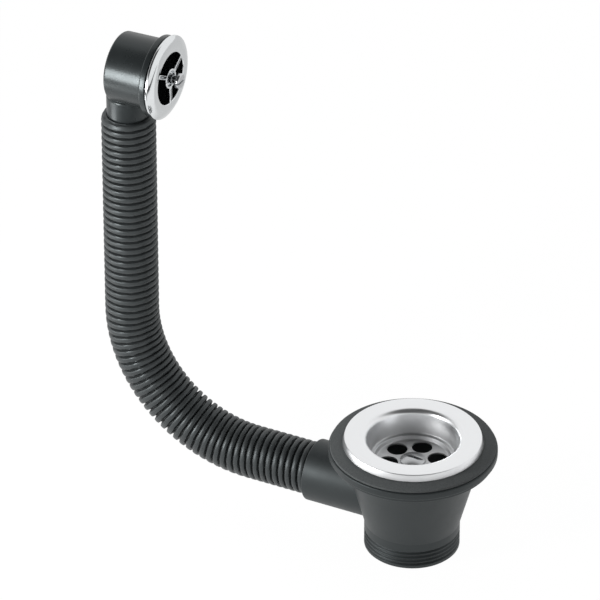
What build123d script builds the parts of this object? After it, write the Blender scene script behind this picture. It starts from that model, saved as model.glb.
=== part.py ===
from build123d import *
import math
import os

os.makedirs("parts", exist_ok=True)

# Basin waste and overflow, in millimetres. The origin is on the waste axis, where the steel
# flange meets the gasket. +Z is up, and the overflow rises on the -X side and faces +X.

# Strainer, pressed from one steel sheet
sheet_t = 0.8
flange_d = 70.0
rim_h = 3.5
rim_bevel = 0.7
mouth_d = 46.8
mouth_round = 3.0
well_depth = 14.3
well_bottom_d = 42.0
floor_d = 37.0
floor_step = 2.0
floor_slant = 0.7
drain_hole_d = 10.2
drain_circle_d = 24.9
drain_count = 6
drain_turn = 34.0

# Strainer screw and the bush that it pulls on
screw_d = 6.0
screw_head_d = 12.6
screw_head_h = 2.2
screw_head_edge = 0.7
screw_slot_w = 1.4
screw_slot_h = 1.1
screw_length = 30.0
screw_clear = 0.05
bush_d = 10.0
bush_length = 12.0

# Seals at the basin outlet
gasket_d = 84.0
gasket_bore_d = 59.8
gasket_t = 2.4
gasket_shoulder = 5.0
gasket_fall = 1.2

# Waste body, one moulding
body_wall = 2.6
body_flange_t = 3.8
body_flange_bevel = 0.4
body_step_d = 81.2
body_step_t = 2.2
bowl_top_d = 67.4
outlet_bore_d = 40.4
thread_d = 47.8
thread_h = 10.9
thread_chamfer = 0.8
collar_d = 47.2
collar_h = 3.7
body_h = 57.6
boss_wall = 2.2
boss_drop = 8.0
boss_h = 18.0
rib_t = 2.6
rib_h = 12.0
rib_count = 3

# Branch socket for the overflow hose
branch_z = -32.7
socket_reach = 54.4
socket_depth = 14.2
socket_wall = 2.0
socket_clear = 0.2
socket_chamfer = 0.8
branch_bore_d = 22.6

# Corrugated hose
hose_d = 27.18
hose_groove = 1.9
hose_seam_groove = 1.4
hose_wall = 0.7
hose_pitch = 3.7
bend_r = 68.0
overflow_reach = 156.75

# Overflow head, one moulding
overflow_z = 172.9
head_d = 36.1
head_draft = 0.5
head_depth = 24.2
head_wall = 2.3
head_round = 1.2
lip_d = 41.0
lip_t = 3.2
lip_bevel = 0.5
neck_setback = 19.75
neck_clear = 0.2
neck_wall = 2.0
neck_show = 7.5
neck_grip = 12.0
neck_rise = 9.0
neck_slope = 6.0
post_d = 10.0
post_setback = 8.0

# Rosette, its gasket, screw and bush
head_gasket_t = 1.0
head_gasket_d = 39.2
rosette_d = 42.4
rosette_bore_d = 26.5
rosette_edge = 1.1
rosette_mid = 3.0
rosette_inner = 3.2
hub_d = 10.1
hub_h = 3.4
hub_sink_d = 8.0
hub_sink = 1.8
spoke_w = 2.0
spoke_t = 1.8
spoke_setback = 1.4
spoke_count = 3
spoke_turn = 30.0
clamp_screw_d = 4.2
clamp_head_d = 7.6
clamp_head_h = 2.4
clamp_slot_w = 1.1
clamp_slot_h = 1.2
clamp_proud = 3.4
clamp_grip = 5.0
clamp_bush_d = 6.6
clamp_bush_length = 9.0
clamp_bush_sink = 2.0

# Levels and radii that several pieces share
floor_top = rim_h - well_depth
floor_under = floor_top - sheet_t
body_top = -gasket_t
flange_under = body_top - body_flange_t - body_step_t
body_bottom = body_top - body_h
thread_top = body_bottom + thread_h
collar_top = thread_top + collar_h
bowl_top_r = bowl_top_d / 2 - body_wall
boss_d = bush_d + 2 * boss_wall
boss_top = floor_under - boss_drop
rib_top = boss_top - (boss_h - rib_h) / 2
rib_bottom = rib_top - rib_h
hose_r = hose_d / 2
root_r = hose_r - hose_groove
seam_r = hose_r - hose_seam_groove
bore_r = root_r - hose_wall
neck_r = bore_r - neck_clear
socket_bore_r = hose_r + socket_clear
socket_r = socket_bore_r + socket_wall
shoulder_x = socket_reach - socket_depth
hose_top = overflow_z - head_d / 2 - neck_show
lip_front = neck_setback - overflow_reach
head_back = lip_front - head_depth
rosette_back = lip_front + head_gasket_t
hub_front = rosette_back + hub_h
spoke_back = rosette_back + spoke_setback
post_front = lip_front - post_setback
clamp_bush_front = post_front - clamp_bush_sink
neck_base = hose_top - neck_grip
neck_top = hose_top + neck_show + neck_rise
overflow_axis = Axis((0, 0, overflow_z), (1, 0, 0))
neck_axis = Axis((-overflow_reach, 0, 0), (0, 0, 1))
neck_section = Plane((-overflow_reach, 0, 0), x_dir=(1, 0, 0), z_dir=(0, -1, 0))
overflow_section = Plane((0, 0, overflow_z), x_dir=(1, 0, 0), z_dir=(0, -1, 0))


def bowl_r(level):
    """Inner radius of the tapered bowl at a level."""
    fall = (flange_under - level) / (flange_under - collar_top)
    return bowl_top_r + (outlet_bore_d / 2 - bowl_top_r) * fall


def ring_profile(count, length, start_r, end_r):
    """Points of `count` hose rings in a row: distance along the run, and radius."""
    points = [(0, start_r)]
    for ring in range(count):
        points.append(((ring + 0.5) * length / count, hose_r))
        points.append(((ring + 1) * length / count, root_r))
    return points[:-1] + [(length, end_r)]


# Steel strainer: flange, well and dished floor from one sheet
with BuildPart() as waste_strainer:
    with BuildSketch(Plane.XZ) as sheet:
        with BuildLine():
            Polyline(
                (screw_d / 2 + screw_clear, floor_top),
                (floor_d / 2, floor_top),
                (floor_d / 2 + floor_slant, floor_top + floor_step),
                (well_bottom_d / 2, floor_top + floor_step),
                (mouth_d / 2, rim_h),
                (flange_d / 2 - rim_bevel, rim_h),
                (flange_d / 2, rim_h - rim_bevel),
                (flange_d / 2, 0),
            )
            offset(amount=-sheet_t, side=Side.RIGHT, kind=Kind.INTERSECTION)
        make_face()
        mouth = sheet.vertices().sort_by_distance((mouth_d / 2, rim_h))
        fillet(mouth[0], mouth_round)
        fillet(sheet.vertices().sort_by_distance(mouth[1])[0], mouth_round + sheet_t)
    revolve(axis=Axis.Z)
    with BuildSketch(Plane.XY.offset(floor_top)):
        with PolarLocations(drain_circle_d / 2, drain_count, start_angle=drain_turn):
            Circle(drain_hole_d / 2)
    extrude(amount=-2 * sheet_t, mode=Mode.SUBTRACT)

# Domed screw with a straight slot
with BuildPart() as strainer_screw:
    with BuildSketch(Plane.XZ):
        with BuildLine():
            Polyline(
                (0, floor_top + screw_head_h),
                (0, floor_top - screw_length),
                (screw_d / 2, floor_top - screw_length),
                (screw_d / 2, floor_top),
                (screw_head_d / 2, floor_top),
                (screw_head_d / 2, floor_top + screw_head_edge),
            )
            ThreePointArc(
                (screw_head_d / 2, floor_top + screw_head_edge),
                (screw_head_d / 4, floor_top + screw_head_edge * 0.25 + screw_head_h * 0.75),
                (0, floor_top + screw_head_h),
            )
        make_face()
    revolve(axis=Axis.Z)
    with BuildSketch(Plane.XY.offset(floor_top + screw_head_h)):
        Rectangle(2 * screw_head_d, screw_slot_w)
    extrude(amount=-screw_slot_h, mode=Mode.SUBTRACT)

# Threaded bush in the body's centre boss
with BuildPart() as strainer_bush:
    with BuildSketch(Plane.XY.offset(boss_top)):
        Circle(bush_d / 2)
        Circle(screw_d / 2 + screw_clear, mode=Mode.SUBTRACT)
    extrude(amount=-bush_length)

# Thin seal in the hollow of the steel flange
with BuildPart() as flange_seal:
    with BuildSketch(Plane.XY):
        Circle(flange_d / 2 - sheet_t - rim_bevel)
        Circle(mouth_d / 2 + mouth_round + sheet_t, mode=Mode.SUBTRACT)
    extrude(amount=rim_h - sheet_t)

# Thick gasket between the basin and the body, falling toward its outer edge
with BuildPart() as waste_gasket:
    with BuildSketch(Plane.XZ):
        Polygon(
            (gasket_bore_d / 2, 0),
            (gasket_d / 2 - gasket_shoulder, 0),
            (gasket_d / 2, -gasket_fall),
            (gasket_d / 2, -gasket_t),
            (gasket_bore_d / 2, -gasket_t),
            align=None,
        )
    revolve(axis=Axis.Z)

# Waste body: flange, tapered bowl, outlet with a collar over its thread, branch socket and centre boss
with BuildPart() as waste_body:
    with BuildSketch(Plane.XZ):
        Polygon(
            (0, body_top),
            (gasket_d / 2 - body_flange_bevel, body_top),
            (gasket_d / 2, body_top - body_flange_bevel),
            (gasket_d / 2, body_top - body_flange_t),
            (body_step_d / 2, body_top - body_flange_t),
            (body_step_d / 2, flange_under),
            (bowl_top_d / 2, flange_under),
            (outlet_bore_d / 2 + body_wall, collar_top),
            (collar_d / 2, collar_top),
            (collar_d / 2, thread_top),
            (thread_d / 2, thread_top),
            (thread_d / 2, body_bottom + thread_chamfer),
            (thread_d / 2 - thread_chamfer, body_bottom),
            (0, body_bottom),
            align=None,
        )
    revolve(axis=Axis.Z)
    with BuildSketch(Plane((0, 0, branch_z), x_dir=(0, 1, 0), z_dir=(-1, 0, 0))):
        Circle(socket_r)
    extrude(amount=socket_reach)
    chamfer(faces().sort_by(Axis.X)[0].edges(), socket_chamfer)
    with BuildSketch(Plane.XZ):
        Polygon(
            (0, body_top),
            (bowl_top_r, body_top),
            (bowl_top_r, flange_under),
            (outlet_bore_d / 2, collar_top),
            (outlet_bore_d / 2, body_bottom),
            (0, body_bottom),
            align=None,
        )
    revolve(axis=Axis.Z, mode=Mode.SUBTRACT)
    with BuildSketch(Plane((0, 0, branch_z), x_dir=(0, 1, 0), z_dir=(-1, 0, 0))):
        Circle(branch_bore_d / 2)
    extrude(amount=socket_reach, mode=Mode.SUBTRACT)
    with BuildSketch(Plane((-shoulder_x, 0, branch_z), x_dir=(0, 1, 0), z_dir=(-1, 0, 0))):
        Circle(socket_bore_r)
    extrude(amount=socket_depth, mode=Mode.SUBTRACT)
    with BuildSketch(Plane.XY.offset(boss_top)):
        Circle(boss_d / 2)
    extrude(amount=-boss_h)
    for rib in range(rib_count):
        with BuildSketch(Plane.XZ.rotated((0, 0, rib * 360 / rib_count))):
            Polygon(
                (boss_d / 4, rib_top),
                (bowl_r(rib_top) + body_wall / 3, rib_top),
                (bowl_r(rib_bottom) + body_wall / 3, rib_bottom),
                (boss_d / 4, rib_bottom),
                align=None,
            )
        extrude(amount=rib_t / 2, both=True)
    with BuildSketch(Plane.XY.offset(boss_top)):
        Circle(bush_d / 2)
    extrude(amount=-bush_length, mode=Mode.SUBTRACT)
    with BuildSketch(Plane.XY.offset(boss_top)):
        Circle(screw_d / 2 + screw_clear)
    extrude(amount=-boss_h, mode=Mode.SUBTRACT)

# One hose ring of the bend, about the Z axis, mitred so that its neighbours meet it edge to edge
level_run = overflow_reach - bend_r - shoulder_x
rise_run = hose_top - branch_z - bend_r
level_rings = round(level_run / hose_pitch)
rise_rings = round(rise_run / hose_pitch)
bend_rings = round(bend_r * math.pi / 2 / hose_pitch)
ring_turn = 90 / bend_rings

with BuildPart() as bend_ring:
    with BuildSketch(Plane((bend_r, 0, 0), x_dir=(0, 1, 0), z_dir=(0, 0, 1))):
        Polygon(
            (-hose_pitch, 0),
            (-hose_pitch, hose_r - 2 * hose_groove),
            (0, hose_r),
            (hose_pitch, hose_r - 2 * hose_groove),
            (hose_pitch, 0),
            align=None,
        )
    revolve(axis=Axis((bend_r, 0, 0), (0, 1, 0)))
    split(bisect_by=Plane.XZ.rotated((0, 0, ring_turn / 2)), keep=Keep.TOP)
    split(bisect_by=Plane.XZ.rotated((0, 0, -ring_turn / 2)), keep=Keep.BOTTOM)

# Quarter bend of the hose, bored through
with BuildPart() as hose_bend:
    with PolarLocations(0, bend_rings, start_angle=ring_turn / 2, angular_range=90):
        add(bend_ring.part)
    with BuildSketch(Plane.XZ):
        with Locations((bend_r, 0)):
            Circle(bore_r)
    revolve(axis=Axis.Z, revolution_arc=90, mode=Mode.SUBTRACT)

# Corrugated hose: a level run, the bend and a standing run, whose end rings cover the bend's ends
with BuildPart() as overflow_hose:
    with BuildSketch(Plane((-shoulder_x, 0, branch_z), x_dir=(-1, 0, 0), z_dir=(0, 1, 0))):
        level_points = ring_profile(level_rings, level_run, root_r, seam_r)
        Polygon((0, bore_r), *level_points, (level_run, bore_r), align=None)
    revolve(axis=Axis((0, 0, branch_z), (-1, 0, 0)))
    with BuildSketch(Plane((-overflow_reach, 0, branch_z + bend_r), x_dir=(0, 0, 1), z_dir=(0, 1, 0))):
        rise_points = ring_profile(rise_rings, rise_run, seam_r, root_r)
        Polygon((0, bore_r), *rise_points, (rise_run, bore_r), align=None)
    revolve(axis=Axis((-overflow_reach, 0, 0), (0, 0, 1)))
    with Locations(Plane((bend_r - overflow_reach, 0, branch_z + bend_r), x_dir=(0, 0, -1), z_dir=(0, 1, 0))):
        add(hose_bend.part)

# Overflow head: cup with a lip, neck for the hose and a post for the screw
with BuildPart() as overflow_head:
    with BuildSketch(overflow_section):
        Polygon(
            (head_back, 0),
            (head_back, head_d / 2 - head_draft),
            (lip_front - lip_t, head_d / 2),
            (lip_front - lip_t, lip_d / 2 - lip_bevel),
            (lip_front - lip_t + lip_bevel, lip_d / 2),
            (lip_front, lip_d / 2),
            (lip_front, 0),
            align=None,
        )
    revolve(axis=overflow_axis)
    fillet(faces().sort_by(Axis.X)[0].edges(), head_round)
    with BuildSketch(neck_section):
        Polygon(
            (0, neck_base),
            (neck_r, neck_base),
            (neck_r, neck_top - neck_slope),
            (neck_r - neck_slope, neck_top),
            (0, neck_top),
            align=None,
        )
    revolve(axis=neck_axis)
    with BuildSketch(Plane((lip_front, 0, overflow_z), x_dir=(0, 1, 0), z_dir=(-1, 0, 0))):
        Circle(head_d / 2 - head_wall)
    extrude(amount=head_depth - head_wall, mode=Mode.SUBTRACT)
    with BuildSketch(neck_section):
        Polygon(
            (0, neck_base),
            (neck_r - neck_wall, neck_base),
            (neck_r - neck_wall, neck_top - neck_slope - neck_wall / 2),
            (neck_r - neck_slope - neck_wall / 2, neck_top - neck_wall),
            (0, neck_top - neck_wall),
            align=None,
        )
    revolve(axis=neck_axis, mode=Mode.SUBTRACT)
    with BuildSketch(Plane((post_front, 0, overflow_z), x_dir=(0, 1, 0), z_dir=(-1, 0, 0))):
        Circle(post_d / 2)
    extrude(amount=post_front - head_back - head_wall / 2)
    with BuildSketch(Plane((post_front, 0, overflow_z), x_dir=(0, 1, 0), z_dir=(-1, 0, 0))):
        Circle(clamp_bush_d / 2)
    extrude(amount=clamp_bush_sink + clamp_bush_length, mode=Mode.SUBTRACT)

# Flat gasket between the overflow lip and the rosette
with BuildPart() as overflow_gasket:
    with BuildSketch(Plane((lip_front, 0, overflow_z), x_dir=(0, 1, 0), z_dir=(1, 0, 0))):
        Circle(head_gasket_d / 2)
        Circle(head_d / 2 - head_wall, mode=Mode.SUBTRACT)
    extrude(amount=head_gasket_t)

# Rosette: ring that rises toward its bore, spokes and a hub sunk for the screw head
with BuildPart() as overflow_rosette:
    with BuildSketch(overflow_section):
        with BuildLine():
            Polyline(
                (rosette_back + rosette_inner, rosette_bore_d / 2),
                (rosette_back, rosette_bore_d / 2),
                (rosette_back, rosette_d / 2),
                (rosette_back + rosette_edge, rosette_d / 2),
            )
            ThreePointArc(
                (rosette_back + rosette_edge, rosette_d / 2),
                (rosette_back + rosette_mid, (rosette_d + rosette_bore_d) / 4),
                (rosette_back + rosette_inner, rosette_bore_d / 2),
            )
        make_face()
    revolve(axis=overflow_axis)
    with BuildSketch(Plane((spoke_back, 0, overflow_z), x_dir=(0, 1, 0), z_dir=(1, 0, 0))):
        with PolarLocations((rosette_bore_d + hub_sink_d) / 4, spoke_count, start_angle=spoke_turn):
            Rectangle((rosette_bore_d - hub_sink_d) / 2 + spoke_w / 2, spoke_w)
    extrude(amount=spoke_t)
    with BuildSketch(Plane((rosette_back, 0, overflow_z), x_dir=(0, 1, 0), z_dir=(1, 0, 0))):
        Circle(hub_d / 2)
    extrude(amount=hub_h)
    with BuildSketch(Plane((hub_front, 0, overflow_z), x_dir=(0, 1, 0), z_dir=(1, 0, 0))):
        Circle(hub_sink_d / 2)
    extrude(amount=-hub_sink, mode=Mode.SUBTRACT)
    with BuildSketch(Plane((hub_front, 0, overflow_z), x_dir=(0, 1, 0), z_dir=(1, 0, 0))):
        Circle(clamp_screw_d / 2 + screw_clear)
    extrude(amount=-hub_h, mode=Mode.SUBTRACT)

# Clamping screw, left a few turns out
with BuildPart() as overflow_screw:
    with BuildSketch(Plane((hub_front + clamp_proud, 0, overflow_z), x_dir=(0, 1, 0), z_dir=(1, 0, 0))):
        Circle(clamp_head_d / 2)
    extrude(amount=clamp_head_h)
    with BuildSketch(Plane((hub_front + clamp_proud, 0, overflow_z), x_dir=(0, 1, 0), z_dir=(1, 0, 0))):
        Circle(clamp_screw_d / 2)
    extrude(amount=clamp_bush_front - clamp_grip - hub_front - clamp_proud)
    with BuildSketch(
        Plane((hub_front + clamp_proud + clamp_head_h, 0, overflow_z), x_dir=(0, 1, 0), z_dir=(1, 0, 0))
    ):
        Rectangle(2 * clamp_head_d, clamp_slot_w)
    extrude(amount=-clamp_slot_h, mode=Mode.SUBTRACT)

# Threaded bush in the overflow head's post
with BuildPart() as overflow_bush:
    with BuildSketch(Plane((clamp_bush_front, 0, overflow_z), x_dir=(0, 1, 0), z_dir=(-1, 0, 0))):
        Circle(clamp_bush_d / 2)
        Circle(clamp_screw_d / 2 + screw_clear, mode=Mode.SUBTRACT)
    extrude(amount=clamp_bush_length)

pieces = {
    "waste_strainer": waste_strainer,
    "strainer_screw": strainer_screw,
    "strainer_bush": strainer_bush,
    "flange_seal": flange_seal,
    "waste_gasket": waste_gasket,
    "waste_body": waste_body,
    "overflow_hose": overflow_hose,
    "overflow_head": overflow_head,
    "overflow_gasket": overflow_gasket,
    "overflow_rosette": overflow_rosette,
    "overflow_screw": overflow_screw,
    "overflow_bush": overflow_bush,
}
for name, piece in pieces.items():
    piece.part.label = name
    export_step(piece.part, f"parts/{name}.step")
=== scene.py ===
# %% [markdown]
# # A basin waste with its overflow
#
# The object is a bathroom fitting: a pressed steel strainer is screwed onto a dark plastic body, and a
# corrugated hose climbs from the body's branch to an overflow head with a chrome rosette. The solids come
# from CAD and are already in place. This lesson dresses them: each visible piece is made again with the
# soft edges, the hose's helix and the pipe thread that the eye expects, and each surface gets its own
# finish.

# %% Load the frame
import math

import bmesh
import bpy
from mathutils import Matrix, Vector


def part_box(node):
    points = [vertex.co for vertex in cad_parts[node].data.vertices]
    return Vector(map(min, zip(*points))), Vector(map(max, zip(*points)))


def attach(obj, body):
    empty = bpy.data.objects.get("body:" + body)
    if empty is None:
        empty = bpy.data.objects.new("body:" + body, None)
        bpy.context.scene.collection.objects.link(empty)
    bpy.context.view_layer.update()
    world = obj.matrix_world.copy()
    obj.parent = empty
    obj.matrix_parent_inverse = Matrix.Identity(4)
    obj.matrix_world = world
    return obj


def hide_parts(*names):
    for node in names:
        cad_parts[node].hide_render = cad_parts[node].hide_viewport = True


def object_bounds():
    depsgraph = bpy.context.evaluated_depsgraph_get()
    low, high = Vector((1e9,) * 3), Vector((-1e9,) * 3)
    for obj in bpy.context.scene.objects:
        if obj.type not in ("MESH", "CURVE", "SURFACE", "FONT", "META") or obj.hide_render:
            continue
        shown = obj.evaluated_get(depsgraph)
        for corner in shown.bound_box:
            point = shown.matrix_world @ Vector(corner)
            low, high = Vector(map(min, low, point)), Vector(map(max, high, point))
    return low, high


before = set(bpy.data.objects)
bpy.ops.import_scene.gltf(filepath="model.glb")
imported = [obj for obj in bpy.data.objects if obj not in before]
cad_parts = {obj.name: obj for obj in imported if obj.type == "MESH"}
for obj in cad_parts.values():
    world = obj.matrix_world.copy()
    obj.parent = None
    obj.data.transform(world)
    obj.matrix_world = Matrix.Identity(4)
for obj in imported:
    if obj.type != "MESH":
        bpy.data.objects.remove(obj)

MM = 0.001
cad_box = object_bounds()
print("CAD nodes", sorted(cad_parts))
print("CAD box", [tuple(round(v / MM, 1) for v in corner) for corner in cad_box])

# %% [markdown]
# ## Sizes from the frame
#
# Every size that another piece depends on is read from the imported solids, so the dressed pieces sit where
# the CAD pieces are. Writing the same numbers down again would work until a size changes. Only what a box
# can't tell, such as a wall or a round, is written down, in millimetres.


# %% Measure the solids
def span(node):
    """Lowest and highest corner of a CAD node, in millimetres."""
    low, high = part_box(node)
    return low / MM, high / MM


sheet_low, sheet_high = span("waste_strainer")
gasket_low, gasket_high = span("waste_gasket")
body_low, body_high = span("waste_body")
hose_low, hose_high = span("overflow_hose")
head_low, head_high = span("overflow_head")
rosette_low, rosette_high = span("overflow_rosette")
hose_r = hose_high.y
overflow_x = hose_low.x + hose_r
overflow_z = (rosette_low.z + rosette_high.z) / 2
branch_z = hose_low.z + hose_r
print("hose radius", round(hose_r, 2), "overflow at", round(overflow_x, 1), round(overflow_z, 1))

# %% [markdown]
# ## Camera
#
# The photograph was taken from the right and above. Its upright lines stay upright, and a short lens close
# by would make them lean, so the lens is a very long one far away. The camera stands in the direction given
# by an azimuth and an elevation, and looks at a point between the waste and the overflow.

# %% Camera at the photograph's angle
AZIMUTH = math.radians(26.75)
ELEVATION = math.radians(32.6)
AIM = Vector((-0.06257, 0, 0.06535))
DISTANCE = 2.70578
LENS = 330
CLIP_END = 10


def direction(azimuth, elevation):
    """Unit vector at an azimuth from -Y toward +X and an elevation above the floor."""
    level = math.cos(elevation)
    return Vector((math.sin(azimuth) * level, -math.cos(azimuth) * level, math.sin(elevation)))


toward_camera = direction(AZIMUTH, ELEVATION)
camera = bpy.data.objects.new("camera", bpy.data.cameras.new("camera"))
bpy.context.scene.collection.objects.link(camera)
camera.location = AIM + toward_camera * DISTANCE
camera.rotation_euler = toward_camera.to_track_quat("Z", "Y").to_euler()
camera.data.lens = LENS
camera.data.clip_end = CLIP_END
bpy.context.scene.camera = camera
bpy.context.scene.view_settings.view_transform = "Standard"
print("camera at", tuple(round(v, 3) for v in camera.location))

# %% [markdown]
# ## Node helpers
#
# Materials are graphs of nodes. In the editor they are dragged and wired by hand, and in Python each node
# and each wire is a call. Three small helpers keep that readable: one adds a node and sets its sockets,
# one wires a list of sockets, and one makes the smooth ramp that the studio's light and dark areas share.


# %% Node helpers
def put(tree, kind, sockets=None, **settings):
    """Add a node to a tree, with its settings and the values of its input sockets."""
    made = tree.nodes.new(kind)
    for key, value in settings.items():
        setattr(made, key, value)
    for key, value in (sockets or {}).items():
        made.inputs[key].default_value = value
    return made


def wire(tree, *links):
    """Wire nodes. Each link is (source node, its output, target node, its input)."""
    for source, output, target, entry in links:
        tree.links.new(source.outputs[output], target.inputs[entry])


def ramp(tree, start, end, first, last):
    """Node that goes smoothly from a first value at start to a last value at end."""
    return put(tree, "ShaderNodeMapRange", {
        "From Min": start, "From Max": end, "To Min": first, "To Max": last,
    }, interpolation_type="SMOOTHSTEP")


print("node helpers", [helper.__name__ for helper in (put, wire, ramp)])

# %% [markdown]
# ## Floor
#
# The object stands on a wide sheet, and a plain grid is all that a flat floor needs. Each mesh that this
# lesson makes starts as a bmesh, Blender's editable mesh in memory, and one helper turns a finished one
# into an object.

# %% Floor
FLOOR_SIZE = 6.0


def object_from(name, builder):
    """Object in the scene made from a finished bmesh."""
    mesh = bpy.data.meshes.new(name)
    builder.to_mesh(mesh)
    builder.free()
    made = bpy.data.objects.new(name, mesh)
    bpy.context.scene.collection.objects.link(made)
    return made


builder = bmesh.new()
bmesh.ops.create_grid(builder, x_segments=2, y_segments=2, size=FLOOR_SIZE / 2)
floor = object_from("floor", builder)
floor.location.z = cad_box[0].z
print("floor at", round(floor.location.z / MM, 1), "mm")

# %% [markdown]
# ## White paper
#
# The photograph shows the object on pure white. Lighting the floor until it burns out would bleach the
# object too, so the paper lights the object as an ordinary matte sheet, and only the camera and mirrored
# rays find a white glow in its place. A small share of the matte sheet stays mixed in, which keeps a
# trace of the object's shadow.
#
# Polished things mirror the floor. A studio isn't white everywhere, and a dark moulding or a chrome ring
# that mirrors nothing but white looks flat. So reflections find a dark card in front of the object, outside
# the picture, and a greyer sheet behind it.

# %% White paper
SHADOW_SHARE = 0.04
PAPER_GLOW = 1.02
PAPER_TONE = 0.88
CARD_TONE = 0.08
CARD_NEAR = (0.18, 0.24)
CARD_FAR = (0.32, 0.44)
REAR = (-0.15, -0.05)
REAR_WHITE = 0.4

paper = bpy.data.materials.new("white paper")
paper.use_nodes = True
tree = paper.node_tree
tree.nodes.clear()
place = put(tree, "ShaderNodeTexCoord")
ahead = put(tree, "ShaderNodeVectorMath", {1: direction(AZIMUTH, 0)}, operation="DOT_PRODUCT")
near = ramp(tree, *CARD_NEAR, 1.0, 0.0)
far = ramp(tree, *CARD_FAR, 0.0, 1.0)
rear = ramp(tree, *REAR, REAR_WHITE, 1.0)
sheet = put(tree, "ShaderNodeMath", operation="MAXIMUM")
studio = put(tree, "ShaderNodeMath", operation="MULTIPLY")
tone = put(tree, "ShaderNodeMix", {6: (*[CARD_TONE] * 3, 1), 7: (*[PAPER_TONE] * 3, 1)}, data_type="RGBA")
matte = put(tree, "ShaderNodeBsdfDiffuse")
glow = put(tree, "ShaderNodeEmission", {"Color": (1, 1, 1, 1), "Strength": PAPER_GLOW})
ray = put(tree, "ShaderNodeLightPath")
seen = put(tree, "ShaderNodeMath", operation="MAXIMUM")
mirrored = put(tree, "ShaderNodeMath", operation="MULTIPLY")
white = put(tree, "ShaderNodeMath", operation="MAXIMUM")
share = put(tree, "ShaderNodeMath", {1: 1 - SHADOW_SHARE}, operation="MULTIPLY")
blend = put(tree, "ShaderNodeMixShader")
out = put(tree, "ShaderNodeOutputMaterial")
wire(
    tree,
    (place, "Object", ahead, 0),
    (ahead, "Value", near, "Value"),
    (ahead, "Value", far, "Value"),
    (ahead, "Value", rear, "Value"),
    (near, 0, sheet, 0),
    (far, 0, sheet, 1),
    (sheet, 0, tone, 0),
    (tone, 2, matte, "Color"),
    (sheet, 0, studio, 0),
    (rear, 0, studio, 1),
    (ray, "Is Camera Ray", seen, 0),
    (ray, "Is Transmission Ray", seen, 1),
    (ray, "Is Glossy Ray", mirrored, 0),
    (studio, 0, mirrored, 1),
    (seen, 0, white, 0),
    (mirrored, 0, white, 1),
    (white, 0, share, 0),
    (share, 0, blend, 0),
    (matte, 0, blend, 1),
    (glow, 0, blend, 2),
    (blend, 0, out, "Surface"),
)
floor.data.materials.append(paper)
print("paper with a dark card from", CARD_NEAR[0], "to", CARD_FAR[1], "m in front")

# %% [markdown]
# ## World
#
# The world is the studio's walls and ceiling: white all round, and dark in a wide cone overhead on the
# camera's side. An even white world would be simpler, but a dark side is what gives a dark moulding its
# shape. The camera itself sees plain white.

# %% World
WORLD_WHITE = 1.0
WORLD_DARK = 0.06
DARK_TURN = AZIMUTH - math.radians(12)
DARK_RISE = math.radians(62)
DARK_CORE = math.radians(42)
DARK_EDGE = math.radians(57)

world = bpy.data.worlds.new("studio")
world.use_nodes = True
bpy.context.scene.world = world
tree = world.node_tree
tree.nodes.clear()
place = put(tree, "ShaderNodeTexCoord")
facing = put(tree, "ShaderNodeVectorMath", {1: direction(DARK_TURN, DARK_RISE)}, operation="DOT_PRODUCT")
shade = ramp(tree, math.cos(DARK_EDGE), math.cos(DARK_CORE), WORLD_WHITE, WORLD_DARK)
ray = put(tree, "ShaderNodeLightPath")
strength = put(tree, "ShaderNodeMix", {3: 1.0}, data_type="FLOAT")
light = put(tree, "ShaderNodeBackground", {"Color": (1, 1, 1, 1)})
out = put(tree, "ShaderNodeOutputWorld")
wire(
    tree,
    (place, "Generated", facing, 0),
    (facing, "Value", shade, "Value"),
    (ray, "Is Camera Ray", strength, 0),
    (shade, 0, strength, 2),
    (strength, 0, light, "Strength"),
    (light, 0, out, "Surface"),
)
print("world", world.name, "from", WORLD_DARK, "to", WORLD_WHITE)

# %% [markdown]
# ## Lamps
#
# The photograph's highlights lie on the left: a bright band on the overflow head, a strip on its neck and a
# glint on each ring of the hose. They look like reflections of a soft box, so each lamp is a rectangle of
# light at the left. A sun or a point would light the same side, but its reflection would be a dot.


# %% Lamps
def light_panel(name, place, toward, size, watts):
    """A rectangular lamp at a place, facing a direction."""
    lamp = bpy.data.lights.new(name, "AREA")
    lamp.shape = "RECTANGLE"
    lamp.size, lamp.size_y = size
    lamp.energy = watts
    panel = bpy.data.objects.new(name, lamp)
    panel.location = place
    panel.rotation_euler = (-Vector(toward)).to_track_quat("Z", "Y").to_euler()
    bpy.context.scene.collection.objects.link(panel)


light_panel(
    "upper_panel", place=(-0.345, -0.42, 0.165), toward=(0.37, 0.93, 0), size=(0.14, 0.20), watts=2.15,
)
light_panel(
    "low_panel", place=(-0.395, -0.18, -0.02), toward=(0.8, 0.6, 0.55), size=(0.16, 0.08), watts=0.20,
)

# %% [markdown]
# ## Moulded grain
#
# Moulded plastic and rubber copy the fine orange-peel of their steel mould, with broad, faint changes of
# tone. Many finishes here share that, so it is a node group: built once, and placed in each material with
# its own sizes. It works in the object's own space, where a scale of 1000 is one speck per millimetre.


# %% Moulded grain
def new_group(name, inputs, outputs):
    """An empty shader group with float sockets, and its inner ends."""
    group = bpy.data.node_groups.new(name, "ShaderNodeTree")
    for label, value in inputs.items():
        socket = group.interface.new_socket(label, in_out="INPUT", socket_type="NodeSocketFloat")
        socket.default_value = value
    for label in outputs:
        group.interface.new_socket(label, in_out="OUTPUT", socket_type="NodeSocketFloat")
    return group, put(group, "NodeGroupInput"), put(group, "NodeGroupOutput")


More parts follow.
